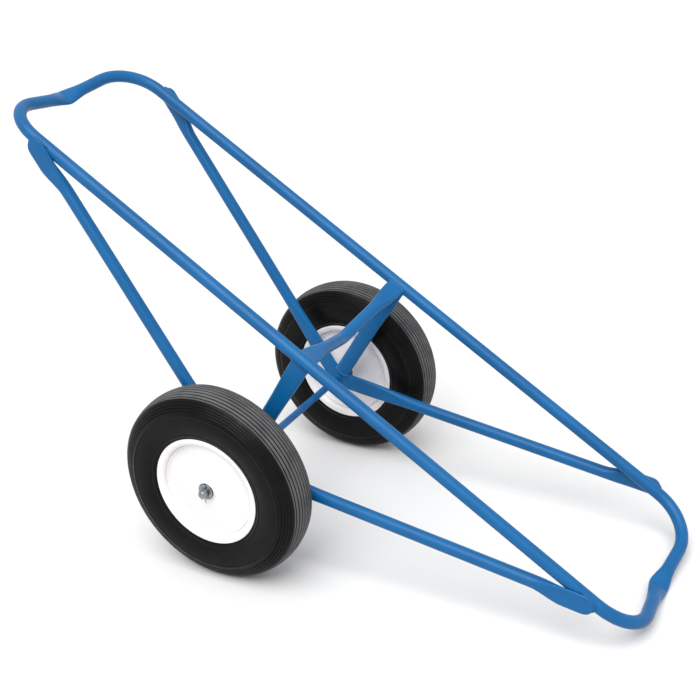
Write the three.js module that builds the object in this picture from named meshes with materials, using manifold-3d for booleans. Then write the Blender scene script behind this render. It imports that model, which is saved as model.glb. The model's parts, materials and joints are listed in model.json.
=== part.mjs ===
// A tube dolly for carpet rolls and other long loads, in millimetres, +Z up.
// A long welded loop of tube rides over an axle with two pneumatic wheels. It is parked the way it
// comes to rest: on both tyres and on the kink of its front end bar, with the rear end in the air.
//
// The cart frame, before it is tipped, has its origin at the middle of the axle, +X towards the
// front end bar, +Y towards the left wheel and +Z square to the loop of the rails.

import * as THREE from 'three';
import { mergeVertices } from 'three/addons/utils/BufferGeometryUtils.js';
import Module from 'manifold-3d';

const wasm = await Module();
wasm.setup();

// Room left between pieces that touch.
const gap = 0.3;

// Frame tube, and the plate that a pressed tube end becomes.
const tubeRadius = 12.7;
const tubeWall = 2.1;
const tubeSides = 12;
const plateHalfWidth = 20;
const plateHalfThickness = 2.9;

// Loop: two rails joined by end bars that dip to a kink in the middle.
const loopHalfLength = 780;
const loopHalfWidth = 200;
const loopHeight = 309.7;
const loopCornerBend = 92;
const kinkDrop = 32;
const kinkBend = 45;
const kinkHalfWidth = 20;
const kinkHalfThickness = 7;
const kinkReach = 58;
const kinkNear = 25;

// Axle line.
const axleRadius = 7.94;
const axleHalfLength = 337;
const pinHoleRadius = 2;
const pinOffset = 327.5;
const pinWireRadius = 0.85;
const pinLegOffset = 1;
const washerRadius = 16;
const washerThickness = 2.5;
const spacerRadius = 18;
const boreRadius = 8.24;

// Lower tubes: one tube on each side, from plate to plate, pressed and bent where the axle goes through.
const lowerTubeOffset = loopHalfWidth + gap + 2 * plateHalfThickness;
const lowerTubeSlope = THREE.MathUtils.degToRad(24.4);
const lowerTubeBend = 60;
const lowerTubeApex = lowerTubeBend * (1 / Math.cos(lowerTubeSlope) - 1);
const bendHalfWidth = 19;
const bendHalfThickness = 4.5;
const bendPressStart = 200;
const bendPressEnd = 60;
const lowerPressStart = 575;
const lowerPressEnd = 635;
const lowerTip = 686;

// Uprights, oval at the foot, from the backs of the lower tubes to the undersides of the rails.
const uprightFootPress = 0.6;
const uprightPressStart = 165;
const uprightPressEnd = 285;

// Cradle tube, which dips between the rails.
const cradleDip = 54;
const cradleBend = 70;
const cradlePressStart = 95;
const cradlePressEnd = 175;

// Wheels: local +Y is outboard.
const tyreRadius = 203.2;
const wheelOffset = 281.8;
const wheelSegments = 24;
const hubSegments = 16;
const hubHalfLength = 38.1;
const hubRadius = 19.5;
const bearingRadius = 17.2;
const bearingWidth = 11;
const rimWall = 2.5;
const beadSeatRadius = 101.6;
const wellRadius = 92;
const flangeRadius = 115;
const flangeFace = 42;
const discWall = 2;
const stemRadius = 4;
const stemOffset = 8;
const stemOutletRadius = 74;
const stemOutletHole = 7;
const stemEnd = 44;
const stemCapRadius = 4.8;
const stemCapLength = 8;
const leftValveTurn = THREE.MathUtils.degToRad(-60);
const rightValveTurn = THREE.MathUtils.degToRad(45);

const bluePaint = { color: 0x2a6ab4, roughness: 0.4, metalness: 0.1 };
const whitePaint = { color: 0xe9ebee, roughness: 0.4, metalness: 0.0 };
const blackRubber = { color: 0x232224, roughness: 0.75, metalness: 0.0 };
const blackPlastic = { color: 0x18181a, roughness: 0.5, metalness: 0.0 };
const zincSteel = { color: 0x9aa1a6, roughness: 0.35, metalness: 0.9 };
const bearingSteel = { color: 0x85898c, roughness: 0.3, metalness: 1.0 };
const brass = { color: 0xb08d45, roughness: 0.35, metalness: 1.0 };

const vec = (x, y, z) => new THREE.Vector3(x, y, z);
const { lerp, clamp } = THREE.MathUtils;

/** A named mesh with a material of its own. */
function part(name, geometry, finish) {
  const mesh = new THREE.Mesh(geometry, new THREE.MeshStandardMaterial(finish));
  mesh.name = name;
  return mesh;
}

/** The corners of a regular polygon whose first corner is on +X. */
function polygon(radius, sides) {
  return Array.from({ length: sides }, (_, i) => {
    const angle = (2 * Math.PI * i) / sides;
    return new THREE.Vector2(radius * Math.cos(angle), radius * Math.sin(angle));
  });
}

/** Stations {at, along} on straight runs joined by arcs. A corner without a bend only marks a place. */
function centreline(corners) {
  const stations = [];
  corners.forEach(({ at, bend = 0, steps = 6 }, i) => {
    const into = i > 0 ? at.clone().sub(corners[i - 1].at).normalize() : null;
    const out = i < corners.length - 1 ? corners[i + 1].at.clone().sub(at).normalize() : into;
    const start = into ?? out;
    if (bend === 0) {
      stations.push({ at, along: start.clone().add(out).normalize() });
      return;
    }
    const turn = start.angleTo(out);
    const inward = out.clone().addScaledVector(start, -Math.cos(turn)).normalize();
    const first = at.clone().addScaledVector(start, -bend * Math.tan(turn / 2));
    for (let k = 0; k <= steps; k += 1) {
      const angle = (turn * k) / steps;
      stations.push({
        at: first.clone()
          .addScaledVector(start, bend * Math.sin(angle))
          .addScaledVector(inward, bend * (1 - Math.cos(angle))),
        along: start.clone().multiplyScalar(Math.cos(angle)).addScaledVector(inward, Math.sin(angle)),
      });
    }
  });
  return stations;
}

/**
 * Sweeps an outline along stations. Its y axis is laid as near as it can be to thinTowards, and
 * reshape(x, y, station) may change the section on the way.
 */
function sweep(outline, stations, thinTowards, reshape = (x, y) => [x, y]) {
  const steps = stations.length - 1;
  const geometry = new THREE.ExtrudeGeometry(outline, { depth: steps, steps, bevelEnabled: false });
  const position = geometry.attributes.position;
  for (let i = 0; i < position.count; i += 1) {
    const station = stations[Math.round(position.getZ(i))];
    const thin = thinTowards.clone().addScaledVector(station.along, -thinTowards.dot(station.along));
    thin.normalize();
    const wide = thin.clone().cross(station.along);
    const [x, y] = reshape(position.getX(i), position.getY(i), station);
    const point = station.at.clone().addScaledVector(wide, x).addScaledVector(thin, y);
    position.setXYZ(i, point.x, point.y, point.z);
  }
  geometry.deleteAttribute('normal');
  geometry.deleteAttribute('uv');
  return geometry;
}

/**
 * A frame tube along stations. section(station) gives the half width and half thickness where the
 * tube is pressed, and a backing of 1 or -1 where one side of it stays in line.
 */
function frameTube(stations, thinTowards, section) {
  const boreSize = tubeRadius - tubeWall;
  const outline = new THREE.Shape(polygon(tubeRadius, tubeSides));
  outline.holes.push(new THREE.Path(polygon(boreSize, tubeSides)));
  const press = (x, y, station) => {
    const { halfWidth, halfThickness, backing = 0 } = section(station);
    const inset = Math.hypot(x, y) < tubeRadius - tubeWall / 2 ? tubeWall : 0;
    const limit = halfThickness - inset;
    const wider = (halfWidth - inset) / (tubeRadius - inset);
    return [x * wider, clamp(y, -limit, limit) + backing * (tubeRadius - halfThickness)];
  };
  return sweep(outline, stations, thinTowards, press);
}

/** The section of a tube that is pressed from round (0) to plate (1). */
function pressed(amount) {
  return {
    halfWidth: lerp(tubeRadius, plateHalfWidth, amount),
    halfThickness: lerp(tubeRadius, plateHalfThickness, amount),
  };
}

/** How far a value has come from start (0) to end (1). */
const progress = (value, start, end) => clamp((value - start) / (end - start), 0, 1);

/** Values spread evenly from first to last. */
const spread = (first, last, count) => {
  return Array.from({ length: count }, (_, i) => lerp(first, last, i / (count - 1)));
};

/** Turns a closed outline of [radius, y] points about Y, with flats at top and bottom on the true radius. */
function turned(outline, segments) {
  const trueFlats = 1 / Math.cos(Math.PI / segments);
  const points = outline.map(([r, y]) => new THREE.Vector2(r * trueFlats, y));
  if (THREE.ShapeUtils.area(points) < 0) points.reverse();
  return new THREE.LatheGeometry([...points, points[0]], segments, Math.PI / segments);
}

/** A round ring about Y between two y values. */
function ring(outer, inner, low, high, segments = hubSegments) {
  return turned([[outer, low], [outer, high], [inner, high], [inner, low]], segments);
}

/** A geometry as a manifold solid. */
function solid(geometry) {
  const bare = geometry.clone();
  bare.deleteAttribute('normal');
  bare.deleteAttribute('uv');
  const merged = mergeVertices(bare, 1e-4);
  return new wasm.Manifold(new wasm.Mesh({
    numProp: 3,
    vertProperties: merged.attributes.position.array,
    triVerts: Uint32Array.from(merged.index.array),
  }));
}

/** A geometry with holes cut by others. */
function cut(geometry, ...tools) {
  const rest = tools.reduce((body, tool) => body.subtract(solid(tool)), solid(geometry));
  const mesh = rest.getMesh();
  const result = new THREE.BufferGeometry();
  result.setAttribute('position', new THREE.BufferAttribute(mesh.vertProperties, 3));
  result.setIndex(new THREE.BufferAttribute(mesh.triVerts, 1));
  return result;
}

/** A round cutter along +Z or, turned over, along Y. */
function drill(radius, length, along = 'z', sides = 12) {
  const cutter = new THREE.CylinderGeometry(radius, radius, length, sides);
  return along === 'z' ? cutter.rotateX(Math.PI / 2) : cutter;
}

// ---------------------------------------------------------------- frame

/** Half of the loop: a rail, the end bar and the other rail. end is 1 at the front and -1 at the rear. */
function loopTube(end) {
  const rail = (side, x) => vec(end * x, side * loopHalfWidth, loopHeight);
  const kinkSlope = kinkDrop / loopHalfWidth;
  const bar = (y) => vec(end * loopHalfLength, y, loopHeight - kinkDrop + Math.abs(y) * kinkSlope);
  const corner = { bend: loopCornerBend, steps: 6 };
  const stations = centreline([
    { at: rail(1, gap / 2) },
    { at: rail(1, loopHalfLength), ...corner },
    ...spread(kinkReach, kinkNear, 3).map((y) => ({ at: bar(y) })),
    { at: bar(0), bend: kinkBend, steps: 2 },
    ...spread(-kinkNear, -kinkReach, 3).map((y) => ({ at: bar(y) })),
    { at: rail(-1, loopHalfLength), ...corner },
    { at: rail(-1, gap / 2) },
  ]);
  const section = ({ at }) => {
    const amount = Math.abs(at.x) > loopHalfLength - 1 ? progress(Math.abs(at.y), kinkReach, 0) : 0;
    return {
      halfWidth: lerp(tubeRadius, kinkHalfWidth, amount),
      halfThickness: lerp(tubeRadius, kinkHalfThickness, amount),
    };
  };
  return frameTube(stations, vec(0, 0, 1), section);
}

/** The centreline of a lower tube. side is 1 on the left and -1 on the right. */
function lowerTubeLine(side) {
  const at = (x) => vec(x, side * lowerTubeOffset, Math.abs(x) * Math.tan(lowerTubeSlope));
  const tipStops = [1.5, 6, 12, plateHalfWidth].map((back) => lowerTip - back);
  const plateStops = spread(lowerPressEnd, lowerPressStart, 4);
  const stops = [...tipStops, ...plateStops, ...spread(bendPressStart, bendPressEnd, 4)];
  return centreline([
    ...stops.map((x) => ({ at: at(-x) })),
    { at: at(0), bend: lowerTubeBend, steps: 6 },
    ...stops.reverse().map((x) => ({ at: at(x) })),
  ]);
}

/** The section of a lower tube at a station: pressed at both ends, and at the bend. */
function lowerTubeSection(station) {
  const x = Math.abs(station.at.x);
  if (x < lowerPressStart) {
    const amount = progress(x, bendPressStart, bendPressEnd);
    return {
      halfWidth: lerp(tubeRadius, bendHalfWidth, amount),
      halfThickness: lerp(tubeRadius, bendHalfThickness, amount),
      backing: 0,
    };
  }
  const plate = pressed(progress(x, lowerPressStart, lowerPressEnd));
  const intoTip = Math.max(0, x - (lowerTip - plateHalfWidth));
  const rounding = Math.sqrt(plateHalfWidth ** 2 - intoTip ** 2) / plateHalfWidth;
  return { ...plate, halfWidth: plate.halfWidth * rounding, backing: 1 };
}

/** A lower tube, whose round-tipped ends are in line with its outboard side. */
function lowerTube(side) {
  const tube = frameTube(lowerTubeLine(side), vec(0, side, 0), lowerTubeSection);
  const axleHole = drill(boreRadius, 4 * tubeRadius, 'y', 24).translate(0, side * lowerTubeOffset, 0);
  return cut(tube, axleHole);
}

/** An upright, with its foot cut to sit on the lower tube's back. */
function upright(side) {
  const foot = lowerTubeApex;
  const top = loopHeight - tubeRadius - gap;
  const offset = (z) => side * lerp(lowerTubeOffset, loopHalfWidth, progress(z, foot, top));
  const heights = [foot, ...spread(uprightPressStart, uprightPressEnd, 4), top];
  const stations = heights.map((z) => ({ at: vec(0, offset(z), z), along: vec(0, 0, 1) }));
  const section = ({ at }) => {
    return pressed(lerp(uprightFootPress, 1, progress(at.z, uprightPressStart, uprightPressEnd)));
  };
  const seat = new THREE.Shape(polygon(tubeRadius, tubeSides));
  const overBack = (x, y, station) => {
    return [x * (lowerTubeSection(station).halfWidth + gap) / tubeRadius, y];
  };
  const lowerTubeBack = sweep(seat, lowerTubeLine(side), vec(0, side, 0), overBack);
  return cut(frameTube(stations, vec(0, side, 0), section), lowerTubeBack);
}

/** The cradle tube between the rails. */
function cradleTube() {
  const end = loopHalfWidth - tubeRadius - gap;
  const at = (y) => vec(0, y, loopHeight - cradleDip * (1 - Math.abs(y) / end));
  const stops = [end, ...spread(cradlePressEnd, cradlePressStart, 4)];
  const stations = centreline([
    ...stops.map((y) => ({ at: at(-y) })),
    { at: at(0), bend: cradleBend, steps: 4 },
    ...stops.reverse().map((y) => ({ at: at(y) })),
  ]);
  const section = (station) => pressed(progress(Math.abs(station.at.y), cradlePressStart, cradlePressEnd));
  return frameTube(stations, vec(0, 0, 1), section);
}

// ---------------------------------------------------------------- axle line

/** The axle rod with a cross hole near each end. */
function axle() {
  const rod = new THREE.CylinderGeometry(axleRadius, axleRadius, 2 * axleHalfLength, 24);
  const holes = [-1, 1].map((side) => {
    return drill(pinHoleRadius, 4 * axleRadius).translate(0, side * pinOffset, 0);
  });
  return cut(rod, ...holes);
}

/** A split pin of folded wire: an eye on top, two legs through the axle, and splayed ends. */
function splitPin(side) {
  const at = (x, z) => vec(x, side * pinOffset, z);
  const stations = centreline([
    { at: at(-8, -16.5) },
    { at: at(-pinLegOffset, -10.5), bend: 3, steps: 3 },
    { at: at(-pinLegOffset, 9.5), bend: 3, steps: 2 },
    { at: at(-4.2, 14.5), bend: 2.5, steps: 3 },
    { at: at(0, 19), bend: 2.5, steps: 4 },
    { at: at(4.2, 14.5), bend: 2.5, steps: 3 },
    { at: at(pinLegOffset, 9.5), bend: 3, steps: 2 },
    { at: at(pinLegOffset, -11), bend: 6, steps: 2 },
    { at: at(2.5, -22) },
  ]);
  return sweep(new THREE.Shape(polygon(pinWireRadius, 6)), stations, vec(0, 1, 0));
}

// ---------------------------------------------------------------- wheel

/** A smooth curve through [radius, y] points. */
function smooth(points, steps) {
  const curve = new THREE.SplineCurve(points.map(([r, y]) => new THREE.Vector2(r, y)));
  return curve.getPoints(steps).map(({ x, y }) => [x, y]);
}

/** A half outline from the wheel's middle plane outwards, followed by its mirror image. */
const mirrored = (half) => [...half, ...half.map(([r, y]) => [r, -y]).reverse()];

/** The tyre's open shell, from bead to bead. */
function tyre() {
  const flank = [[116.5, 40.5], [152, 48], [184, 43.5], [198.5, 28]];
  const lining = [[116, 35], [152, 43], [184, 36]];
  const across = (half, crown) => [...half, [crown, 0], ...half.map(([r, y]) => [r, -y]).reverse()];
  const beadRadius = beadSeatRadius + gap;
  const beadFace = flangeFace - rimWall - gap;
  const bead = [[beadRadius, 29], [beadRadius, beadFace], [flangeRadius + gap, beadFace]];
  return turned([
    ...bead,
    ...smooth(across(flank, tyreRadius), 12),
    ...bead.map(([r, y]) => [r, -y]).reverse(),
    ...smooth(across(lining, tyreRadius - 8), 8).reverse(),
  ], wheelSegments);
}

/** The air tube's thin shell, with a hole where the valve stem is moulded in. */
function innerTube() {
  const wall = 2;
  const half = [[190, 16], [176, 35], [150, 41], [104, 26], [93, 13]];
  const middle = new THREE.Vector2(145, 0);
  const lining = half.map(([r, y]) => {
    const inward = middle.clone().sub(new THREE.Vector2(r, y)).setLength(wall);
    return [r + inward.x, y + inward.y];
  });
  const shell = turned(mirrored(half), wheelSegments);
  const cavity = turned(mirrored(lining), wheelSegments);
  return cut(shell, cavity, stemHole());
}

/** A cutter for the hole where the valve stem comes through the rim's well. */
function stemHole() {
  return drill(stemRadius + gap, 20).translate(0, -stemOffset, wellRadius);
}

/** The rim's barrel: two flanges, two bead seats and the well between them. */
function rimBarrel() {
  const outside = [[wellRadius, 17], [beadSeatRadius, 25], [beadSeatRadius, flangeFace - rimWall]];
  const flange = [[flangeRadius, flangeFace - rimWall], [flangeRadius, flangeFace]];
  const inside = [[beadSeatRadius, flangeFace], [beadSeatRadius, 26], [wellRadius, 18]];
  const half = [...outside, ...flange, ...inside.map(([r, y]) => [r - rimWall, y])];
  return cut(turned(mirrored(half), wheelSegments), stemHole());
}

/** A dished disc between the barrel and the hub. side is 1 outboard and -1 inboard. */
function disc(side) {
  const edge = beadSeatRadius - rimWall - gap;
  const face = [[edge - 2.5, 29.3], [edge - 6, 27.3], [62, 31.8], [34, 34.5], [hubRadius + 2 * gap, 34.5]];
  const back = face.slice(1).reverse().map(([r, y]) => [r, y - discWall]);
  const lip = [[edge, 28.5], [edge, 33], [edge - discWall, 33]];
  const outline = [...face, ...back, ...lip].map(([r, y]) => [r, side * y]);
  return turned(outline, wheelSegments);
}

/** The valve stem, which leaves the well and turns out through the inboard disc. */
function valveStem() {
  const stations = centreline([
    { at: vec(0, -stemOffset, wellRadius + 5) },
    { at: vec(0, -stemOffset, stemOutletRadius), bend: 9, steps: 3 },
    { at: vec(0, -stemEnd, stemOutletRadius) },
  ]);
  return sweep(new THREE.Shape(polygon(stemRadius, 8)), stations, vec(1, 0, 0));
}

/** A wheel with the parts that turn with it. side is 1 on the left and -1 on the right. */
function wheel(side) {
  const name = side > 0 ? 'left' : 'right';
  const outlet = drill(stemOutletHole, 20, 'y').translate(0, -30, stemOutletRadius);
  const bearingStart = hubHalfLength - bearingWidth;
  const cap = drill(stemCapRadius, stemCapLength, 'y');
  cap.translate(0, -stemEnd - gap - stemCapLength / 2, stemOutletRadius);
  const group = new THREE.Group();
  group.add(
    part(`${name}_tyre`, tyre(), blackRubber),
    part(`${name}_inner_tube`, innerTube(), blackRubber),
    part(`${name}_rim_barrel`, rimBarrel(), whitePaint),
    part(`${name}_outer_disc`, disc(1), whitePaint),
    part(`${name}_inner_disc`, cut(disc(-1), outlet), whitePaint),
    part(`${name}_hub`, ring(hubRadius, bearingRadius + gap, -hubHalfLength, hubHalfLength), whitePaint),
    part(`${name}_outer_bearing`, ring(bearingRadius, boreRadius, bearingStart, hubHalfLength), bearingSteel),
    part(`${name}_inner_bearing`, ring(bearingRadius, boreRadius, -hubHalfLength, -bearingStart), bearingSteel),
    part(`${name}_valve_stem`, valveStem(), brass),
    part(`${name}_valve_cap`, cap, blackPlastic),
  );
  group.position.y = side * wheelOffset;
  group.rotation.set(0, side > 0 ? leftValveTurn : rightValveTurn, side > 0 ? 0 : Math.PI);
  return group;
}

// ---------------------------------------------------------------- assembly

/** The welded tubes, in the cart frame. */
function frameTubes() {
  const group = new THREE.Group();
  group.add(
    part('front_loop_tube', loopTube(1), bluePaint),
    part('rear_loop_tube', loopTube(-1), bluePaint),
    part('left_lower_tube', lowerTube(1), bluePaint),
    part('right_lower_tube', lowerTube(-1), bluePaint),
    part('left_upright', upright(1), bluePaint),
    part('right_upright', upright(-1), bluePaint),
    part('cradle_tube', cradleTube(), bluePaint),
  );
  return group;
}

/** The washers, spacer and split pin on one end of the axle. */
function axleHardware(side) {
  const name = side > 0 ? 'left' : 'right';
  const hubInside = wheelOffset - hubHalfLength - gap;
  const hubOutside = wheelOffset + hubHalfLength + gap;
  const spacerEnd = hubInside - washerThickness - gap;
  const spacerStart = lowerTubeOffset + bendHalfThickness + gap;
  const sleeve = (outer, low, high) => {
    return side > 0 ? ring(outer, boreRadius, low, high) : ring(outer, boreRadius, -high, -low);
  };
  const group = new THREE.Group();
  const innerWasher = sleeve(washerRadius, hubInside - washerThickness, hubInside);
  const outerWasher = sleeve(washerRadius, hubOutside, hubOutside + washerThickness);
  group.add(
    part(`${name}_spacer`, sleeve(spacerRadius, spacerStart, spacerEnd), blackPlastic),
    part(`${name}_inner_washer`, innerWasher, zincSteel),
    part(`${name}_outer_washer`, outerWasher, zincSteel),
    part(`${name}_split_pin`, splitPin(side), zincSteel),
  );
  return group;
}

/** The lean at which the front end bar's kink meets the ground that the tyres stand on. */
function parkedLean(tubes) {
  const position = tubes.getObjectByName('front_loop_tube').geometry.attributes.position;
  const lowest = (lean) => {
    let low = Infinity;
    for (let i = 0; i < position.count; i += 1) {
      low = Math.min(low, position.getZ(i) * Math.cos(lean) - position.getX(i) * Math.sin(lean));
    }
    return low;
  };
  let [level, steep] = [0, Math.PI / 4];
  for (let i = 0; i < 40; i += 1) {
    const lean = (level + steep) / 2;
    [level, steep] = lowest(lean) > -tyreRadius ? [lean, steep] : [level, lean];
  }
  return level;
}

const dolly = new THREE.Group();
const tubes = frameTubes();
tubes.rotation.y = parkedLean(tubes);
dolly.add(
  tubes,
  part('axle', axle(), zincSteel),
  axleHardware(1),
  axleHardware(-1),
  wheel(1),
  wheel(-1),
);

// The origin is on the ground, under the middle of the whole part.
const box = new THREE.Box3().setFromObject(dolly, true);
dolly.position.set(-(box.min.x + box.max.x) / 2, 0, tyreRadius);

export default dolly;
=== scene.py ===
"""A carpet dolly: a cradle frame of bent blue tube over an axle with two pneumatic wheels.

Pieces are made in millimetres, in the cart's own frame (origin at the middle of the axle, X to the
front, Y to the left, Z square to the rails) or in a wheel's own frame (origin at its middle, Y
outboard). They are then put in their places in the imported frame, which is in metres.
"""

import json
import math

import bmesh
import bpy
from mathutils import Matrix, Vector


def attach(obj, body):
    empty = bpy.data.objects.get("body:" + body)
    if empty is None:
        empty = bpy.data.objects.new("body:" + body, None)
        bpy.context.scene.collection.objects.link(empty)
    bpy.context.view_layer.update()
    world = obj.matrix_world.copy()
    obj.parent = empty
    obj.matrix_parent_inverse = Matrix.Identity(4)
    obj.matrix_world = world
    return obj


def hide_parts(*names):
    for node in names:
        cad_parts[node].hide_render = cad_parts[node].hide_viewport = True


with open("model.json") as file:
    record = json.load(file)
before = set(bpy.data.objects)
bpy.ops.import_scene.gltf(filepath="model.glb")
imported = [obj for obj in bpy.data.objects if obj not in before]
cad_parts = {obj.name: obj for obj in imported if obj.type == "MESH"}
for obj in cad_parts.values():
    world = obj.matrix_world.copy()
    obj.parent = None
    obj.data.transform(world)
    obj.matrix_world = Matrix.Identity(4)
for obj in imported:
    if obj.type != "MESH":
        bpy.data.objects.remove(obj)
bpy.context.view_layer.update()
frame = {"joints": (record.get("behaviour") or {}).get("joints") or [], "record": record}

# ------------------------------------------------------------------ sizes, in millimetres

TUBE = 12.68
PLATE_WIDE = 20.0
PLATE_THICK = 2.9
PLATE_CROWN = 2.0

LOOP_LENGTH = 779.5
RAIL_OUT = 200.0
RAIL_UP = 309.7
CORNER_BEND = 92.0
KINK_DROP = 32.0
KINK_BEND = 70.0
KINK_WIDE = 20.0
KINK_THICK = 7.0
KINK_REACH = 60.0
KINK_CREASE = 1.4
KINK_CREASE_WIDE = 8.0

AXLE = 7.94
AXLE_END = 337.0
# Where the paint on the axle ends, under the sleeves.
PAINT_END = 220.5
LOWER_OUT = 206.1
LOWER_SLOPE = math.radians(24.4)
LOWER_BEND = 60.0
LOWER_APEX = LOWER_BEND * (1 / math.cos(LOWER_SLOPE) - 1)
BEND_WIDE = 19.0
BEND_THICK = 4.5
BEND_PRESS = (200.0, 60.0)
LOWER_PRESS = (575.0, 635.0)
LOWER_TIP = 686.0

# How far the foot of an upright is pressed, from round (0) to a plate (1).
UPRIGHT_FOOT = 0.6
UPRIGHT_PRESS = (165.0, 285.0)
CRADLE_DIP = 54.0
CRADLE_BEND = 70.0
CRADLE_PRESS = (95.0, 175.0)
CRADLE_MEETS_RAIL = RAIL_OUT - TUBE

PLATE_BEAD = 3.0
FOOT_BEAD = 2.6
AXLE_BEAD = 2.4
# How far above and below the rail's middle a lower tube's plate is welded to it.
WELD_GROOVE = 8.6

WHEEL_OUT = 281.8
TYRE = 203.2
# How far the tread falls from its crown, in mm for each square mm from the middle plane.
TREAD_DROP = 0.006
SHOULDER_CUT = 1.5
FLEX_RISE = 1.1
FLANGE = 115.0
FLANGE_FACE = 42.0
HUB = 19.5
HUB_FACE = 38.1
BEARING_THICK = 11.0
BORE = 8.24
VALVE_OUT = 74.0
WASHER = 16.0
WASHER_THICK = 2.5
SLEEVE = 18.0
CLEAR = 0.3
PIN_OUT = 327.5
PIN_WIRE = 0.85

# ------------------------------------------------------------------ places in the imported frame

MM = Matrix.Scale(0.001, 4)
mounts = {mount["name"]: Vector(mount["pos_m"]) for mount in frame["record"]["mounts"]}
hinges = {joint["child"]: Vector(joint["pos_m"]) for joint in frame["joints"]}
axle_middle = (hinges["left_wheel"] + hinges["right_wheel"]) / 2
rail_run = mounts["front_left_plate"] - mounts["rear_left_plate"]
lean = math.atan2(-rail_run.z, rail_run.x)
IN_CART = Matrix.Translation(axle_middle) @ Matrix.Rotation(lean, 4, "Y") @ MM
ON_AXLE = Matrix.Translation(axle_middle) @ MM
VALVE_TURN = {"left": math.radians(-60), "right": math.radians(45)}
SIDES = {"left": 1, "right": -1}


def in_wheel(name):
    """The place of a wheel's own frame. The right wheel is turned about, so its Y is outboard too."""
    turned_about = Matrix.Rotation(0 if name == "left" else math.pi, 4, "Z")
    spun = Matrix.Rotation(VALVE_TURN[name], 4, "Y")
    return Matrix.Translation(hinges[name + "_wheel"]) @ spun @ turned_about @ MM


# ------------------------------------------------------------------ shaping


def lerp(a, b, share):
    return a + (b - a) * share


def eased(share):
    """From 0 to 1 with a soft start and end."""
    share = min(1.0, max(0.0, share))
    return share * share * (3 - 2 * share)


def verts_of(made):
    return [item for item in made if isinstance(item, bmesh.types.BMVert)]


def edges_of(made):
    return [item for item in made if isinstance(item, bmesh.types.BMEdge)]


def centreline(corners, steps=8):
    """Stations (at, along, size) on straight runs joined by arcs, from corners (x, y, z, bend).

    A corner without a bend only marks a place on a straight run.
    """
    points = [Vector(corner[:3]) for corner in corners]
    stations = []
    for i, corner in enumerate(corners):
        into = (points[i] - points[max(i - 1, 0)]).normalized()
        out = (points[min(i + 1, len(points) - 1)] - points[i]).normalized()
        into = into if i else out
        out = out if i < len(points) - 1 else into
        bend = corner[3]
        if not bend:
            stations.append((points[i], (into + out).normalized(), 1.0))
            continue
        turn = into.angle(out)
        axis = into.cross(out).normalized()
        first = points[i] - into * bend * math.tan(turn / 2)
        centre = first + axis.cross(into) * bend
        for k in range(steps + 1):
            turned_by = Matrix.Rotation(turn * k / steps, 3, axis)
            stations.append((centre + turned_by @ (first - centre), turned_by @ into, 1.0))
    return stations


def swept(bm, stations, radius, sides=32, closed=False):
    """A round bar along stations: each ring is extruded from the last and turned to its station."""
    at, along, size = stations[0]
    place = Matrix.LocRotScale(at, along.to_track_quat("Z", "Y"), None)
    ring = bmesh.ops.create_circle(bm, segments=sides, radius=radius * size, matrix=place)["verts"]
    first_ring = list({edge for vert in ring for edge in vert.link_edges})
    last_ring = first_ring
    for next_at, next_along, next_size in stations[1:]:
        made = bmesh.ops.extrude_edge_only(bm, edges=last_ring)["geom"]
        turn = along.rotation_difference(next_along).to_matrix().to_4x4()
        grow = Matrix.Scale(next_size / size, 4)
        move = Matrix.Translation(next_at) @ turn @ grow @ Matrix.Translation(-at)
        bmesh.ops.transform(bm, matrix=move, verts=verts_of(made))
        last_ring = edges_of(made)
        at, along, size = next_at, next_along, next_size
    if closed:
        bmesh.ops.bridge_loops(bm, edges=first_ring + last_ring)
    else:
        bmesh.ops.edgeloop_fill(bm, edges=first_ring)
        bmesh.ops.edgeloop_fill(bm, edges=last_ring)
    return bm


def rounded(corners, steps=4):
    """An outline of (radius, y) points from corners (radius, y, rounding)."""
    points = []
    for i, (radius, y, ease) in enumerate(corners):
        here = Vector((radius, y))
        if not ease:
            points.append(here)
            continue
        back = (Vector(corners[i - 1][:2]) - here).normalized()
        on = (Vector(corners[(i + 1) % len(corners)][:2]) - here).normalized()
        half = back.angle(on) / 2
        centre = here + (back + on).normalized() * ease / math.sin(half)
        spoke = here + back * ease / math.tan(half) - centre
        last = here + on * ease / math.tan(half) - centre
        sweep = math.atan2(spoke.x * last.y - spoke.y * last.x, spoke.dot(last))
        points += [centre + Matrix.Rotation(sweep * k / steps, 2) @ spoke for k in range(steps + 1)]
    return points


def turned(outline, segments=96):
    """Spins a closed outline of (radius, y) points about Y."""
    bm = bmesh.new()
    verts = [bm.verts.new((0, y, radius)) for radius, y in outline]
    edges = [bm.edges.new(pair) for pair in zip(verts, verts[1:] + verts[:1])]
    bmesh.ops.spin(
        bm,
        geom=verts + edges,
        cent=(0, 0, 0),
        axis=(0, 1, 0),
        angle=2 * math.pi,
        steps=segments,
        use_merge=True,
    )
    return bm


def mirrored(half):
    """A half outline from the middle plane outwards, with its mirror image before it."""
    return [(r, -y) for r, y in reversed(half)] + [(r, y) for r, y in half]


def piece(bm, name, place, body, material, slot, nodes=(), crease=32):
    """Puts a shape in its place and makes it a piece that rides on a body and stands for CAD nodes."""
    bmesh.ops.remove_doubles(bm, verts=bm.verts, dist=0.002)
    bmesh.ops.recalc_face_normals(bm, faces=bm.faces)
    for face in bm.faces:
        face.smooth = True
    for edge in bm.edges:
        edge.smooth = edge.calc_face_angle(0) < math.radians(crease)
    bm.transform(place)
    mesh = bpy.data.meshes.new(name)
    bm.to_mesh(mesh)
    bm.free()
    mesh.materials.append(material)
    made = bpy.data.objects.new(name, mesh)
    bpy.context.scene.collection.objects.link(made)
    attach(made, body)
    if nodes:
        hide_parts(*nodes)
    return made


# ------------------------------------------------------------------ finishes


def linear(red, green, blue):
    """A colour from 0 to 255 in each channel, as a shader takes it."""
    shares = [channel / 255 for channel in (red, green, blue)]
    return [s / 12.92 if s <= 0.04045 else ((s + 0.055) / 1.055) ** 2.4 for s in shares] + [1]


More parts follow.
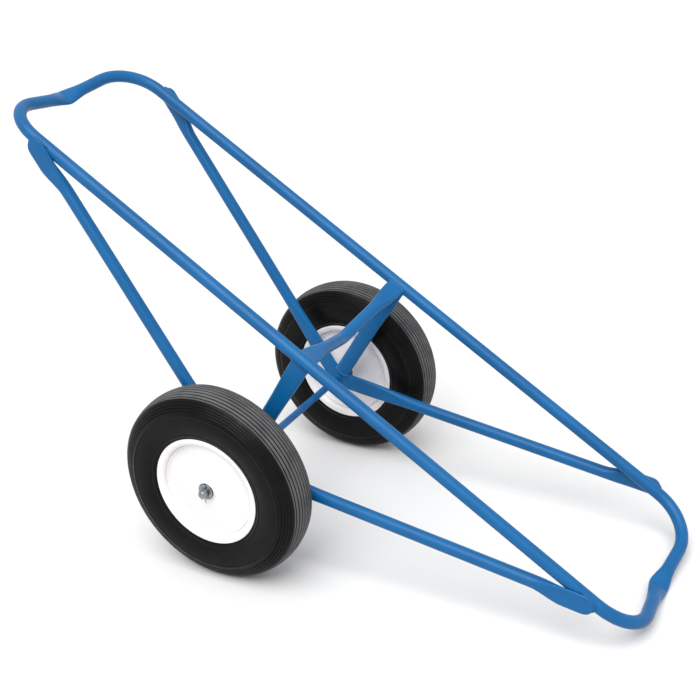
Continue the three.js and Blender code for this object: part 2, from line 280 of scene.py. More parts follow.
class Tree:
    """Adds nodes to a material or group, and joins them."""

    def __init__(self, tree):
        self.tree = tree

    def add(self, kind, settings=(), **inputs):
        node = self.tree.nodes.new("ShaderNode" + kind)
        for key, value in dict(settings).items():
            setattr(node, key, value)
        for key, value in inputs.items():
            self.put(node.inputs[key.replace("_", " ")], value)
        return node

    def put(self, socket, value):
        if isinstance(value, bpy.types.NodeSocket):
            self.tree.links.new(value, socket)
        else:
            socket.default_value = value

    def math(self, operation, first, second=0.0, third=0.0):
        node = self.tree.nodes.new("ShaderNodeMath")
        node.operation = operation
        for socket, value in zip(node.inputs, (first, second, third)):
            self.put(socket, value)
        return node.outputs[0]

    def spread(self, value, low, high, to_low=0.0, to_high=1.0):
        """Maps value from low and high to the other two, and holds it between them."""
        node = self.tree.nodes.new("ShaderNodeMapRange")
        names = ("Value", "From Min", "From Max", "To Min", "To Max")
        for key, number in zip(names, (value, low, high, to_low, to_high)):
            self.put(node.inputs[key], number)
        return node.outputs["Result"]

    def mix(self, share, first, second):
        node = self.tree.nodes.new("ShaderNodeMix")
        node.data_type = "RGBA"
        self.put(node.inputs["Factor"], share)
        self.put(node.inputs[6], first)
        self.put(node.inputs[7], second)
        return node.outputs[2]


def group(name, inputs, outputs):
    """A node group with named number inputs and outputs, its tree, and its two ends."""
    made = bpy.data.node_groups.new(name, "ShaderNodeTree")
    for label, default in inputs.items():
        socket = made.interface.new_socket(label, in_out="INPUT", socket_type="NodeSocketFloat")
        socket.default_value = default
    for label in outputs:
        made.interface.new_socket(label, in_out="OUTPUT", socket_type="NodeSocketFloat")
    start = made.nodes.new("NodeGroupInput")
    end = made.nodes.new("NodeGroupOutput")
    return made, Tree(made), start.outputs, end.inputs


def make_mottle():
    """Soft patches, and a fine skin for the height of a bump."""
    inputs = {"Patch Scale": 8.0, "Skin Scale": 400.0, "Low": 0.0, "High": 1.0}
    made, tree, start, end = group("mottle", inputs, ("Value", "Height"))
    place = tree.add("TexCoord").outputs["Object"]
    patches = tree.add("TexNoise", Vector=place, Scale=start["Patch Scale"], Detail=4.0)
    value = tree.spread(patches.outputs["Fac"], 0.3, 0.7, start["Low"], start["High"])
    skin = tree.add("TexNoise", Vector=place, Scale=start["Skin Scale"], Detail=2.0)
    tree.put(end["Value"], value)
    tree.put(end["Height"], skin.outputs["Fac"])
    return made


def make_wheel_place():
    """Distances in metres: from the axle's line, and from the middle plane of the nearer wheel."""
    made, tree, start, end = group("wheel_place", {}, ("Radius", "Across"))
    place = tree.add("TexCoord").outputs["Object"]
    shift = (-axle_middle.x, 0, -axle_middle.z)
    centred = tree.add("Mapping", Vector=place, Location=shift).outputs["Vector"]
    axes = tree.add("SeparateXYZ", Vector=centred).outputs
    flat = tree.add("CombineXYZ", X=axes["X"], Z=axes["Z"]).outputs["Vector"]
    radius = tree.add("VectorMath", {"operation": "LENGTH"}, Vector=flat).outputs["Value"]
    out = tree.math("ABSOLUTE", axes["Y"])
    across = tree.math("ABSOLUTE", tree.math("SUBTRACT", out, WHEEL_OUT / 1000))
    tree.put(end["Radius"], radius)
    tree.put(end["Across"], across)
    return made


mottle = make_mottle()
wheel_place = make_wheel_place()


def finish(name):
    """A new material: its tree and its shader."""
    made = bpy.data.materials.new(name)
    made.use_nodes = True
    return made, Tree(made.node_tree), made.node_tree.nodes["Principled BSDF"]


def placed(tree, made, **inputs):
    """A node group in a material, with its own values."""
    node = tree.add("Group", {"node_tree": made})
    for label, value in inputs.items():
        tree.put(node.inputs[label.replace("_", " ")], value)
    return node.outputs


def painted(name, low, high, rough, gloss_level):
    """Sprayed paint: slow changes of shade, and a faint orange peel."""
    made, tree, shader = finish(name)
    patches = placed(tree, mottle, Patch_Scale=9.0, Skin_Scale=420.0)
    tree.put(shader.inputs["Base Color"], tree.mix(patches["Value"], low, high))
    gloss = placed(tree, mottle, Patch_Scale=34.0, Low=rough[0], High=rough[1])
    tree.put(shader.inputs["Roughness"], gloss["Value"])
    bump = tree.add("Bump", Strength=0.1, Distance=0.0004, Height=patches["Height"])
    tree.put(shader.inputs["Normal"], bump.outputs["Normal"])
    shader.inputs["Specular IOR Level"].default_value = gloss_level
    shader.inputs["Coat Weight"].default_value = 0.04
    shader.inputs["Coat Roughness"].default_value = 0.2
    return made


def metal(name, low, high, rough, skin_scale):
    """Bare or plated steel with cloudy patches and a fine grain."""
    made, tree, shader = finish(name)
    patches = placed(tree, mottle, Patch_Scale=60.0, Skin_Scale=skin_scale)
    tree.put(shader.inputs["Base Color"], tree.mix(patches["Value"], low, high))
    gloss = placed(tree, mottle, Patch_Scale=150.0, Low=rough[0], High=rough[1])
    tree.put(shader.inputs["Roughness"], gloss["Value"])
    bump = tree.add("Bump", Strength=0.15, Distance=0.0002, Height=patches["Height"])
    tree.put(shader.inputs["Normal"], bump.outputs["Normal"])
    shader.inputs["Metallic"].default_value = 1.0
    return made


def dull(name, low, high, rough, skin_scale):
    """Rubber or plastic with a matte, slightly grainy skin."""
    made, tree, shader = finish(name)
    patches = placed(tree, mottle, Patch_Scale=40.0, Skin_Scale=skin_scale)
    tree.put(shader.inputs["Base Color"], tree.mix(patches["Value"], low, high))
    gloss = placed(tree, mottle, Patch_Scale=90.0, Low=rough[0], High=rough[1])
    tree.put(shader.inputs["Roughness"], gloss["Value"])
    bump = tree.add("Bump", Strength=0.2, Distance=0.0003, Height=patches["Height"])
    tree.put(shader.inputs["Normal"], bump.outputs["Normal"])
    return made


def axle_finish():
    """Steel rod, painted between the lower tubes and bare outside them."""
    made, tree, shader = finish("axle_finish")
    place = tree.add("TexCoord").outputs["Object"]
    out = tree.math("ABSOLUTE", tree.add("SeparateXYZ", Vector=place).outputs["Y"])
    ragged = placed(tree, mottle, Patch_Scale=300.0, Low=-0.002, High=0.002)["Value"]
    bare = tree.spread(tree.math("ADD", out, ragged), (PAINT_END - 1) / 1000, (PAINT_END + 1) / 1000)
    patches = placed(tree, mottle, Patch_Scale=30.0, Skin_Scale=600.0)
    paint = tree.mix(patches["Value"], linear(4, 74, 126), linear(10, 84, 140))
    steel = tree.mix(patches["Value"], linear(132, 138, 142), linear(176, 181, 184))
    tree.put(shader.inputs["Base Color"], tree.mix(bare, paint, steel))
    tree.put(shader.inputs["Metallic"], bare)
    gloss = placed(tree, mottle, Patch_Scale=120.0, Low=0.28, High=0.42)
    tree.put(shader.inputs["Roughness"], gloss["Value"])
    bump = tree.add("Bump", Strength=0.15, Distance=0.0003, Height=patches["Height"])
    tree.put(shader.inputs["Normal"], bump.outputs["Normal"])
    return made


def tyre_finish():
    """Black rubber: glossy on the sidewalls, greyer and duller on the faces of the ribs."""
    made, tree, shader = finish("tyre_finish")
    where = placed(tree, wheel_place)
    crown_drop = tree.math("MULTIPLY", tree.math("POWER", where["Across"], 2.0), TREAD_DROP * 1000)
    below = tree.math("ADD", where["Radius"], crown_drop)
    rib_face = tree.spread(below, TYRE / 1000 - 0.0016, TYRE / 1000 - 0.0004)
    patches = placed(tree, mottle, Patch_Scale=26.0, Skin_Scale=900.0)
    wall = tree.mix(patches["Value"], linear(7, 6, 6), linear(16, 14, 14))
    face = tree.mix(patches["Value"], linear(74, 74, 76), linear(94, 94, 94))
    tree.put(shader.inputs["Base Color"], tree.mix(rib_face, wall, face))
    shader.inputs["Specular IOR Level"].default_value = 0.11
    scuffed = placed(tree, mottle, Patch_Scale=60.0, Low=0.26, High=0.42)["Value"]
    tree.put(shader.inputs["Roughness"], tree.math("MULTIPLY_ADD", rib_face, 0.3, scuffed))
    bump = tree.add("Bump", Strength=0.25, Distance=0.0004, Height=patches["Height"])
    tree.put(shader.inputs["Normal"], bump.outputs["Normal"])
    return made


blue_paint = painted("blue_paint", linear(4, 78, 128), linear(10, 90, 144), (0.34, 0.44), 0.22)
white_paint = painted("white_paint", linear(216, 213, 215), linear(228, 225, 227), (0.26, 0.36), 0.4)
zinc_plate = metal("zinc_plate", linear(120, 126, 130), linear(168, 172, 174), (0.26, 0.42), 900.0)
ground_steel = metal("ground_steel", linear(128, 130, 132), linear(158, 160, 162), (0.2, 0.32), 700.0)
turned_brass = metal("turned_brass", linear(168, 134, 70), linear(196, 160, 92), (0.24, 0.38), 800.0)
tube_rubber = dull("tube_rubber", linear(24, 24, 25), linear(40, 40, 41), (0.6, 0.75), 700.0)
black_plastic = dull("black_plastic", linear(20, 20, 22), linear(32, 32, 34), (0.38, 0.5), 500.0)
tyre_rubber = tyre_finish()
axle_steel = axle_finish()

# ------------------------------------------------------------------ tubes of the frame


def flattened(wide, thin, amount, plate=(PLATE_WIDE, PLATE_THICK)):
    """Where a point of a tube's round section goes as it is pressed from round (0) to a plate (1)."""
    thickness = lerp(TUBE, plate[1], amount)
    flat = lerp(TUBE, plate[0], amount) - thickness
    rounding = thickness * math.pi / 2
    way = (flat + rounding) * math.atan2(abs(thin), abs(wide)) / (math.pi / 2)
    if way < rounding:
        turn = way / thickness
        x, y = flat + thickness * math.cos(turn), thickness * math.sin(turn)
    else:
        x, y = flat + rounding - way, thickness
    return math.copysign(x, wide), math.copysign(y, thin)


def press(bm, start, end, thin, backing=0.0, tip=None, least=0.0):
    """Presses a tube's end, from round at start to a plate from end on.

    With backing 1 the plate stays in line with the tube's side towards thin. tip is the distance
    from start to the end of the plate, where that is rounded. least is how far the rest of the tube
    is pressed.
    """
    along = (end - start).normalized()
    wide = thin.cross(along)
    length = (end - start).length
    for vert in bm.verts:
        out = vert.co - start
        way = out.dot(along)
        if way <= 0 and not least:
            continue
        amount = lerp(least, 1, eased(way / length))
        x, y = flattened(out.dot(wide), out.dot(thin), amount)
        if tip and way > tip - PLATE_WIDE:
            x *= math.sqrt(max(0.0, 1 - ((way - tip) / PLATE_WIDE + 1) ** 2))
        crown = PLATE_CROWN * amount * (1 - min(1.0, (x / PLATE_WIDE) ** 2))
        y += math.copysign(crown, y) + backing * (TUBE - lerp(TUBE, PLATE_THICK, amount) - crown)
        vert.co = start + along * way + wide * x + thin * y


def loop_half(end):
    """Half of the loop, with the kink of its end bar drawn out wide and creased on top."""

    def bar(y):
        return (end * LOOP_LENGTH, y, RAIL_UP - KINK_DROP * (1 - abs(y) / RAIL_OUT))

    marks = (62, 54, 46, 38, 31, 25, 20, 16, 12.5, 10)
    bm = swept(
        bmesh.new(),
        centreline(
            [
                (0, RAIL_OUT, RAIL_UP, 0),
                (*bar(RAIL_OUT), CORNER_BEND),
                *[(*bar(y), 0) for y in marks],
                (*bar(0), KINK_BEND),
                *[(*bar(-y), 0) for y in reversed(marks)],
                (*bar(-RAIL_OUT), CORNER_BEND),
                (0, -RAIL_OUT, RAIL_UP, 0),
            ],
            steps=14,
        ),
        TUBE,
    )
    for vert in bm.verts:
        x, y, z = vert.co
        if abs(y) > KINK_REACH or abs(x) < LOOP_LENGTH - 2 * TUBE:
            continue
        middle = bar(y)
        amount = eased(1 - abs(y) / KINK_REACH)
        above = (z - middle[2]) * lerp(1, KINK_THICK / TUBE, amount)
        above -= KINK_CREASE * max(0.0, above / KINK_THICK) * math.exp(-((y / KINK_CREASE_WIDE) ** 2))
        vert.co.x = middle[0] + (x - middle[0]) * lerp(1, KINK_WIDE / TUBE, amount)
        vert.co.z = middle[2] + above
    return bm


def lower_middle(x):
    """The height of a lower tube's middle in its bend."""
    return LOWER_APEX + LOWER_BEND - math.sqrt(LOWER_BEND**2 - x**2)


def lower_tube(side):
    """A tube pressed and bent round the axle, with both ends pressed to round-tipped plates."""
    rise = math.tan(LOWER_SLOPE)
    into_tip = [PLATE_WIDE * math.cos(LOWER_SLOPE) * math.sin(math.radians(a)) for a in range(0, 85, 12)]
    tip_marks = [LOWER_TIP - PLATE_WIDE * math.cos(LOWER_SLOPE) + into for into in into_tip]
    press_marks = [lerp(*LOWER_PRESS, k / 12) for k in range(13)]
    bend_marks = [lerp(*BEND_PRESS, k / 12) for k in range(12, -1, -1)]
    marks = [*bend_marks, *press_marks, *tip_marks, LOWER_TIP - 0.02]
    corners = [(-x, side * LOWER_OUT, x * rise, 0) for x in reversed(marks)]
    corners.append((0, side * LOWER_OUT, 0, LOWER_BEND))
    corners += [(x, side * LOWER_OUT, x * rise, 0) for x in marks]
    line = centreline(corners, steps=16)
    bm = swept(bmesh.new(), line, TUBE)
    for at, along, _ in line:
        amount = eased((BEND_PRESS[0] - abs(at.x)) / (BEND_PRESS[0] - BEND_PRESS[1]))
        if not amount:
            continue
        wide = Vector((-along.z, 0, along.x))
        for vert in bm.verts:
            out = vert.co - at
            if abs(out.dot(along)) < 0.001 and out.length < TUBE + 0.001:
                x, y = flattened(out.dot(wide), out.y, amount, (BEND_WIDE, BEND_THICK))
                vert.co = at + wide * x + Vector((0, y, 0))
    thin = Vector((0, side, 0))
    for end in (1, -1):
        start, stop = [Vector((end * x, side * LOWER_OUT, x * rise)) for x in LOWER_PRESS]
        tip = (LOWER_TIP - LOWER_PRESS[0]) / math.cos(LOWER_SLOPE)
        press(bm, start, stop, thin, backing=1.0, tip=tip)
    return bm


def upright_line(side, z):
    """The middle of an upright at height z."""
    share = (z - LOWER_APEX) / (RAIL_UP - TUBE - LOWER_APEX)
    return Vector((0, side * lerp(LOWER_OUT, RAIL_OUT, share), z))


def upright(side):
    """An upright, oval at the foot and pressed wide at the top."""
    foot = LOWER_APEX + BEND_WIDE - 3
    heights = [foot, 40, 60, 90, 120, *[lerp(*UPRIGHT_PRESS, k / 16) for k in range(17)], RAIL_UP - 8]
    corners = [(*upright_line(side, z), 0) for z in heights]
    bm = swept(bmesh.new(), centreline(corners), TUBE - 0.1)
    start, stop = [upright_line(side, z) for z in UPRIGHT_PRESS]
    along = (stop - start).normalized()
    thin = Vector((1, 0, 0)).cross(along)
    press(bm, start, stop, thin, least=UPRIGHT_FOOT)
    return bm


def cradle_height(y):
    return RAIL_UP - CRADLE_DIP * (1 - abs(y) / CRADLE_MEETS_RAIL)


def cradle():
    """The tube that dips between the rails, pressed wide at both ends."""
    marks = [*[lerp(*CRADLE_PRESS, k / 12) for k in range(13)], RAIL_OUT - 6]
    corners = [(0, -y, cradle_height(y), 0) for y in reversed(marks)]
    corners.append((0, 0, cradle_height(0), CRADLE_BEND))
    corners += [(0, y, cradle_height(y), 0) for y in marks]
    bm = swept(bmesh.new(), centreline(corners, steps=12), TUBE)
    for side in (1, -1):
        start, stop = [Vector((0, side * y, cradle_height(y))) for y in CRADLE_PRESS]
        thin = Vector((1, 0, 0)).cross((stop - start).normalized())
        press(bm, start, stop, thin)
    return bm


# ------------------------------------------------------------------ welds


def bead(path, radius, closed=True):
    """A weld bead along a path, with the ripples that it sets in."""
    count = len(path)
    stations = []
    for i, at in enumerate(path):
        before = path[i - 1] if closed or i else at
        after = path[(i + 1) % count] if closed or i < count - 1 else at
        size = 1 + 0.06 * math.sin(i * 2.4)
        if not closed:
            size *= lerp(0.35, 1, eased(4 * min(i, count - 1 - i) / count))
        stations.append((at, (after - before).normalized(), size))
    return swept(bmesh.new(), stations, radius, sides=12, closed=closed)


def plate_outline(count=48):
    """Points (wide, thin) round the edge of a pressed tube end."""
    turns = [2 * math.pi * k / count for k in range(count)]
    return [flattened(TUBE * math.cos(turn), TUBE * math.sin(turn), 1.0) for turn in turns]


def cradle_weld(side):
    """Where the cradle tube's end meets the rail's inner side."""
    path = []
    for wide, thin in plate_outline():
        reach = math.sqrt(TUBE**2 - thin**2)
        path.append(Vector((wide, side * (RAIL_OUT - reach), RAIL_UP + thin)))
    return bead(path, PLATE_BEAD)


def upright_top_weld(side):
    """Where an upright's top meets the rail's underside."""
    path = []
    for wide, thin in plate_outline():
        reach = math.sqrt(TUBE**2 - thin**2)
        path.append(Vector((wide, side * RAIL_OUT + thin, RAIL_UP - reach)))
    return bead(path, PLATE_BEAD)


def upright_foot_weld(side, count=60):
    """Where an upright's foot sits on the lower tube's back."""
    path = []
    for k in range(count):
        turn = 2 * math.pi * k / count
        x, y = flattened(TUBE * math.cos(turn), TUBE * math.sin(turn), UPRIGHT_FOOT)
        edge = max(0.0, abs(y) / BEND_THICK - 0.3)
        z = lower_middle(x) + BEND_WIDE / math.cos(math.asin(x / LOWER_BEND)) - 2.2 * edge
        path.append(Vector((x, side * LOWER_OUT + y, z)))
    return bead(path, FOOT_BEAD)


def axle_weld(side, count=40):
    """Round the axle where it goes into the lower tube's inboard side."""
    path = []
    for k in range(count):
        turn = 2 * math.pi * k / count
        spoke = Vector((math.cos(turn), 0, math.sin(turn))) * (AXLE + 1.2)
        path.append(Vector((0, side * (LOWER_OUT - BEND_THICK - 0.4), 0)) + spoke)
    return bead(path, AXLE_BEAD)


def plate_weld(side, end):
    """A bead in the groove above a lower tube's plate, round its tip and in the groove below it."""
    slope = Vector((math.cos(LOWER_SLOPE), math.sin(LOWER_SLOPE)))
    tip_middle = Vector((LOWER_TIP, LOWER_TIP * math.tan(LOWER_SLOPE))) - slope * PLATE_WIDE
    round_tip = []
    for turn in range(48, -8, -6):
        spoke = Vector((math.cos(math.radians(turn)), math.sin(math.radians(turn))))
        x, z = tip_middle + spoke * (PLATE_WIDE + 0.6)
        round_tip.append((x, z - RAIL_UP))
    over = [(x, WELD_GROOVE) for x in range(648, 678, 3)]
    under = [(x, -WELD_GROOVE) for x in range(684, 625, -3)]
    path = []
    for x, above in over + round_tip + under:
        reach = math.sqrt(TUBE**2 - above**2)
        path.append(Vector((end * x, side * (RAIL_OUT + reach + 1.6), RAIL_UP + above)))
    return bead(path, PLATE_BEAD, closed=False)


def make_frame():
    blue = {"body": "frame", "material": blue_paint, "slot": "frame_blue"}
    for name, end in (("front", 1), ("rear", -1)):
        piece(loop_half(end), name + "_loop", IN_CART, nodes=[name + "_loop_tube"], **blue)
    piece(cradle(), "cradle", IN_CART, nodes=["cradle_tube"], **blue)
    for name, side in SIDES.items():
        piece(lower_tube(side), name + "_lower", IN_CART, nodes=[name + "_lower_tube"], **blue)
        piece(upright(side), name + "_post", IN_CART, nodes=[name + "_upright"], **blue)
        piece(cradle_weld(side), name + "_cradle_weld", IN_CART, **blue)
        piece(upright_top_weld(side), name + "_post_top_weld", IN_CART, **blue)
        piece(upright_foot_weld(side), name + "_post_foot_weld", IN_CART, **blue)
        piece(axle_weld(side), name + "_axle_weld", IN_CART, **blue)
        for end_name, end in (("front", 1), ("rear", -1)):
            piece(plate_weld(side, end), f"{end_name}_{name}_plate_weld", IN_CART, **blue)


# ------------------------------------------------------------------ axle line


def ring(outer, inner, low, high, ease, segments=64):
    """A plain ring about Y with eased edges."""
    corners = [(outer, low, ease), (outer, high, ease), (inner, high, ease), (inner, low, ease)]
    return turned(rounded(corners), segments)


def axle_rod():
    """The axle, chamfered at both ends."""
    chamfer = 1.3
    corners = [
        (0, -AXLE_END, 0),
        (AXLE - chamfer, -AXLE_END, 0.3),
        (AXLE, -AXLE_END + chamfer, 0.3),
        (AXLE, AXLE_END - chamfer, 0.3),
        (AXLE - chamfer, AXLE_END, 0.3),
        (0, AXLE_END, 0),
    ]
    return turned(rounded(corners), 48)


def split_pin(side):
    """Folded wire: an eye on top, two legs through the axle, and splayed ends."""
    corners = [
        (-8, -16.5, 0),
        (-1, -10.5, 3),
        (-1, 9.5, 3),
        (-4.2, 14.5, 2.5),
        (0, 19, 2.5),
        (4.2, 14.5, 2.5),
        (1, 9.5, 3),
        (1, -11, 6),
        (2.5, -22, 0),
    ]
    line = centreline([(x, side * PIN_OUT, z, bend) for x, z, bend in corners], steps=6)
    return swept(bmesh.new(), line, PIN_WIRE, sides=12)


def make_axle_line():
    piece(axle_rod(), "axle_rod", ON_AXLE, "frame", axle_steel, "axle_steel", ["axle"])
    zinc = {"place": ON_AXLE, "body": "frame", "material": zinc_plate, "slot": "zinc_steel"}
    plastic = {"place": ON_AXLE, "body": "frame", "material": black_plastic, "slot": "black_plastic"}
    hub_inside = WHEEL_OUT - HUB_FACE - CLEAR
    hub_outside = WHEEL_OUT + HUB_FACE + CLEAR
    sleeve_span = (LOWER_OUT + BEND_THICK + CLEAR, hub_inside - WASHER_THICK - CLEAR)
    for name, side in SIDES.items():
        for node, start in (("inner_washer", hub_inside - WASHER_THICK), ("outer_washer", hub_outside)):
            made = ring(WASHER, BORE, side * start, side * (start + WASHER_THICK), 0.5)
            piece(made, f"{name}_{node}_plate", nodes=[f"{name}_{node}"], **zinc)
        piece(split_pin(side), name + "_cotter", nodes=[name + "_split_pin"], **zinc)
        sleeve = ring(SLEEVE, BORE, side * sleeve_span[0], side * sleeve_span[1], 0.8)
        piece(sleeve, name + "_sleeve", nodes=[name + "_spacer"], **plastic)


# ------------------------------------------------------------------ wheels


def through(points, value):
    """The height of a smooth curve through (place, height) points at a place between them."""
    for i in range(len(points) - 1):
        if value <= points[i + 1][0]:
            break
    before = points[max(i - 1, 0)]
    here, there = points[i], points[i + 1]
    after = points[min(i + 2, len(points) - 1)]
    span = there[0] - here[0]
    slope_here = (there[1] - before[1]) / (there[0] - before[0]) * span
    slope_there = (after[1] - here[1]) / (after[0] - here[0]) * span
    t = (value - here[0]) / span
    rise = there[1] - here[1]
    bow = slope_here * t * (1 - t) ** 2 - slope_there * t * t * (1 - t)
    return here[1] + rise * t * t * (3 - 2 * t) + bow


WALL_LOW = [(116.5, 40.5), (124, 43.4), (138, 46.8), (152, 48)]
WALL_HIGH = [(166, 46.9), (180, 42.6), (190, 37), (195.5, 31.8)]
WALL = WALL_LOW + WALL_HIGH
SHOULDER_GROOVES = (175.4, 180.8, 185.8, 190.4)
FLEX_RINGS = (122.5, 166.5)
GROOVES = (4.2, 12.4, 20.3, 27.6)
GROOVE_HALF = [(0.7, 3.3), (1.05, 2.8), (1.35, 0.3), (1.7, 0)]
GROOVE = [(-across, depth) for across, depth in reversed(GROOVE_HALF)] + GROOVE_HALF


def wall_point(radius):
    """A point on the tyre's sidewall, with its shoulder grooves and two raised rings."""
    dip = sum(SHOULDER_CUT * math.exp(-(((radius - at) / 0.75) ** 2)) for at in SHOULDER_GROOVES)
    rise = sum(FLEX_RISE * math.exp(-(((radius - at) / 1.6) ** 2)) for at in FLEX_RINGS)
    return radius, through(WALL, radius) + rise - dip


def tyre():
    """A ribbed tyre: grooves round the tread and shoulder, and raised rings on the sidewall."""
    low, high = WALL[0][0], WALL[-1][0]
    marks = [lerp(low, high, k / 30) for k in range(31)]
    for at in SHOULDER_GROOVES:
        marks += [at + step for step in (-1.5, -1.0, -0.6, -0.3, 0, 0.3, 0.6, 1.0, 1.5)]
    for at in FLEX_RINGS:
        marks += [at + step for step in (-3, -2, -1, 0, 1, 2, 3)]
    half = [wall_point(radius) for radius in sorted(set(marks)) if radius <= high]
    tread = []
    depths = []
    for groove in reversed(GROOVES):
        tread += [groove - side for side, _ in GROOVE]
        depths += [depth for _, depth in GROOVE]
    half += [(TYRE - TREAD_DROP * y * y - depth, y) for y, depth in zip(tread, depths)]
    bead_side = [(101.9, 29), (101.9, 33), (104.2, 37.2), (109, 39.2), (113.5, 39.2), (115.6, 39.8)]
    outside = bead_side + half
    lining = [(195.2, 0), (193.5, 16), (184, 34), (168, 42), (152, 43), (134, 40.6), (116, 35), (106, 30.5)]
    outline = outside + [(TYRE, 0)] + [(r, -y) for r, y in reversed(outside)]
    outline += [(r, -y) for r, y in reversed(lining[1:])] + lining
    return turned(outline, 128)


def air_tube():
    """The inner tube's shell, just inside the tyre."""
    half = [(191, 0), (189, 16), (176, 33), (150, 40), (120, 33), (104, 24), (94, 12)]
    outside = mirrored(half[1:])
    outside.insert(len(half) - 1, half[0])
    return turned(outside, 72)


def rim_shell():
    """The rim: rolled flanges, bead seats and the well between them, in one thickness of sheet."""
    seat = [(92, 17, 3), (101.6, 25, 3), (101.6, 39.5, 7.5)]
    flange = [(FLANGE, 39.5, 1.2), (FLANGE, FLANGE_FACE, 1.2)]
    lining = [(99.1, FLANGE_FACE, 10), (99.1, 26, 3), (89.5, 18, 3)]
    half = seat + flange + lining
    corners = half + [(r, -y, ease) for r, y, ease in reversed(half)]
    return turned(rounded(corners), 128)


def dish(side):
    """A pressed disc between the rim and the hub. side is 1 outboard and -1 inboard."""
    face = [(94.4, 29.3, 2.5), (91, 27.6, 5), (62, 31.8, 30), (34, 34.5, 14), (HUB + 0.1, 34.5, 0)]
    back = [(HUB + 0.1, 32.5, 0), (34, 32.5, 14), (62, 29.8, 30), (90, 25.6, 5)]
    lip = [(98.8, 28, 3), (98.8, 33, 0.6), (96.8, 33, 0.6)]
    corners = [(r, side * y, ease) for r, y, ease in face + back + lip]
    return turned(rounded(corners, steps=6), 128)


def hub():
    """The hub's barrel, with a weld fillet where each disc joins it."""
    half = [(HUB, 31.5, 0), (HUB + 1.2, 34.9, 0.5), (HUB, 36, 0.5), (HUB, HUB_FACE, 0.8)]
    bore = [(17.3, HUB_FACE, 0.6), (17.3, HUB_FACE - 11, 0), (15, HUB_FACE - 11.4, 0)]
    corners = half + bore
    corners += [(r, -y, ease) for r, y, ease in reversed(half + bore)]
    return turned(rounded(corners), 72)


def bearing(side):
    """A shielded bearing: two rings with a dished shield between them."""
    inner_ring = [(8.3, HUB_FACE, 0.4), (10.4, HUB_FACE, 0.3)]
    shield = [(10.6, HUB_FACE - 0.5, 0), (14.8, HUB_FACE - 0.8, 0)]
    outer_ring = [(15.0, HUB_FACE, 0.3), (17.2, HUB_FACE, 0.4)]
    face = inner_ring + shield + outer_ring
    back = [(r, 2 * HUB_FACE - BEARING_THICK - y, ease) for r, y, ease in reversed(face)]
    corners = [(r, side * y, ease) for r, y, ease in face + back]
    return turned(rounded(corners), 64)


def valve_stem():
    """A stem that leaves the rim's well and turns out through the inboard disc."""
    ends = [(0, -8, 97, 0), (0, -8, VALVE_OUT, 9)]
    line = centreline(ends + [(0, y, VALVE_OUT, 0) for y in (-38, -40, -44)])
    sized = [(at, along, 0.86 if at.y < -39 else 1.0) for at, along, _ in line]
    return swept(bmesh.new(), sized, 4.0, sides=20)


def valve_cap():
    """A ribbed dust cap."""
    line = centreline([(0, y, VALVE_OUT, 0) for y in (-44.3, -45, -50.6, -52.2)])
    bm = swept(bmesh.new(), line, 4.7, sides=32)
    for vert in bm.verts:
        spoke = Vector((vert.co.x, 0, vert.co.z - VALVE_OUT))
        turn = math.atan2(spoke.z, spoke.x)
        squeeze = 0.8 if vert.co.y < -52 else 1.0
        size = squeeze * (1 + 0.03 * math.cos(16 * turn))
        vert.co.x, vert.co.z = spoke.x * size, VALVE_OUT + spoke.z * size
    return bm


def make_wheel(name):
    place, body = in_wheel(name), name + "_wheel"
    shapes = [
        (tyre(), "ribbed_tyre", tyre_rubber, "tyre_rubber", "tyre"),
        (air_tube(), "air_tube", tube_rubber, "tube_rubber", "inner_tube"),
        (rim_shell(), "rim_shell", white_paint, "rim_white", "rim_barrel"),
        (dish(1), "outer_dish", white_paint, "rim_white", "outer_disc"),
        (dish(-1), "inner_dish", white_paint, "rim_white", "inner_disc"),
        (hub(), "hub_barrel", white_paint, "rim_white", "hub"),
        (bearing(1), "outer_race", ground_steel, "bearing_steel", "outer_bearing"),
        (bearing(-1), "inner_race", ground_steel, "bearing_steel", "inner_bearing"),
        (valve_stem(), "valve_tail", turned_brass, "valve_brass", "valve_stem"),
        (valve_cap(), "dust_cap", black_plastic, "black_plastic", "valve_cap"),
    ]
    for shape, label, material, slot, node in shapes:
        piece(shape, f"{name}_{label}", place, body, material, slot, [f"{name}_{node}"])


make_frame()
make_axle_line()
for wheel_name in SIDES:
    make_wheel(wheel_name)

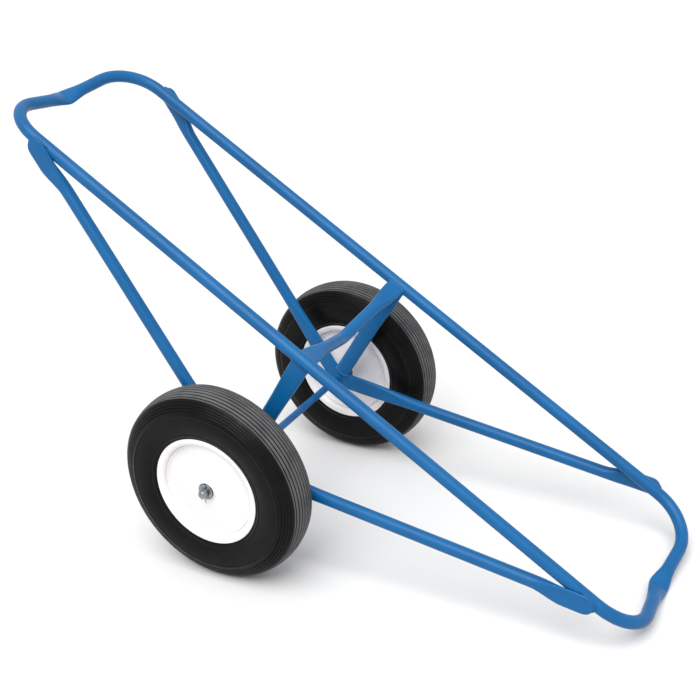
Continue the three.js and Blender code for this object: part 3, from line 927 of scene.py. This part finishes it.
# ------------------------------------------------------------------ stage, light and camera


def floor():
    """A plain pale floor."""
    bm = bmesh.new()
    bmesh.ops.create_grid(bm, x_segments=1, y_segments=1, size=30)
    mesh = bpy.data.meshes.new("floor")
    bm.to_mesh(mesh)
    bm.free()
    made = bpy.data.objects.new("floor", mesh)
    bpy.context.scene.collection.objects.link(made)
    pale, tree, shader = finish("floor_pale")
    shader.inputs["Base Color"].default_value = (0.64, 0.64, 0.64, 1)
    shader.inputs["Roughness"].default_value = 0.8
    mesh.materials.append(pale)


def lamp(name, kind, at, aim, power, **settings):
    """A soft lamp that looks from one point to another."""
    light = bpy.data.lights.new(name, kind)
    light.energy = power
    for key, value in settings.items():
        setattr(light, key, value)
    made = bpy.data.objects.new(name, light)
    made.location = at
    made.rotation_euler = (Vector(aim) - Vector(at)).to_track_quat("-Z", "Y").to_euler()
    bpy.context.scene.collection.objects.link(made)


def daylight(strength):
    """An even pale sky."""
    world = bpy.data.worlds.new("studio")
    world.use_nodes = True
    sky = world.node_tree.nodes["Background"]
    sky.inputs["Color"].default_value = (1, 1, 1, 1)
    sky.inputs["Strength"].default_value = strength
    bpy.context.scene.world = world


def camera(at, aim, roll, lens):
    """The camera, square to a line of sight and rolled a little about it."""
    data = bpy.data.cameras.new("camera")
    data.lens = lens
    data.sensor_width = 36
    made = bpy.data.objects.new("camera", data)
    sight = (Vector(aim) - Vector(at)).to_track_quat("-Z", "Y").to_matrix().to_4x4()
    made.matrix_world = Matrix.Translation(at) @ sight @ Matrix.Rotation(roll, 4, "Z")
    bpy.context.scene.collection.objects.link(made)
    bpy.context.scene.camera = made


floor()
daylight(0.86)
lamp("key", "SUN", (0.2, -0.9, 2.0), (0, 0, 0), 2.8, angle=math.radians(50))
lamp("front", "AREA", (0.6, -2.6, 2.4), (0, 0, 0.35), 20, shape="SQUARE", size=1.0)
camera((1.0751, -1.8679, 1.4254), (-0.0666, 0.1186, 0.3290), math.radians(-3.03), 60.73)
bpy.context.scene.view_settings.view_transform = "Standard"
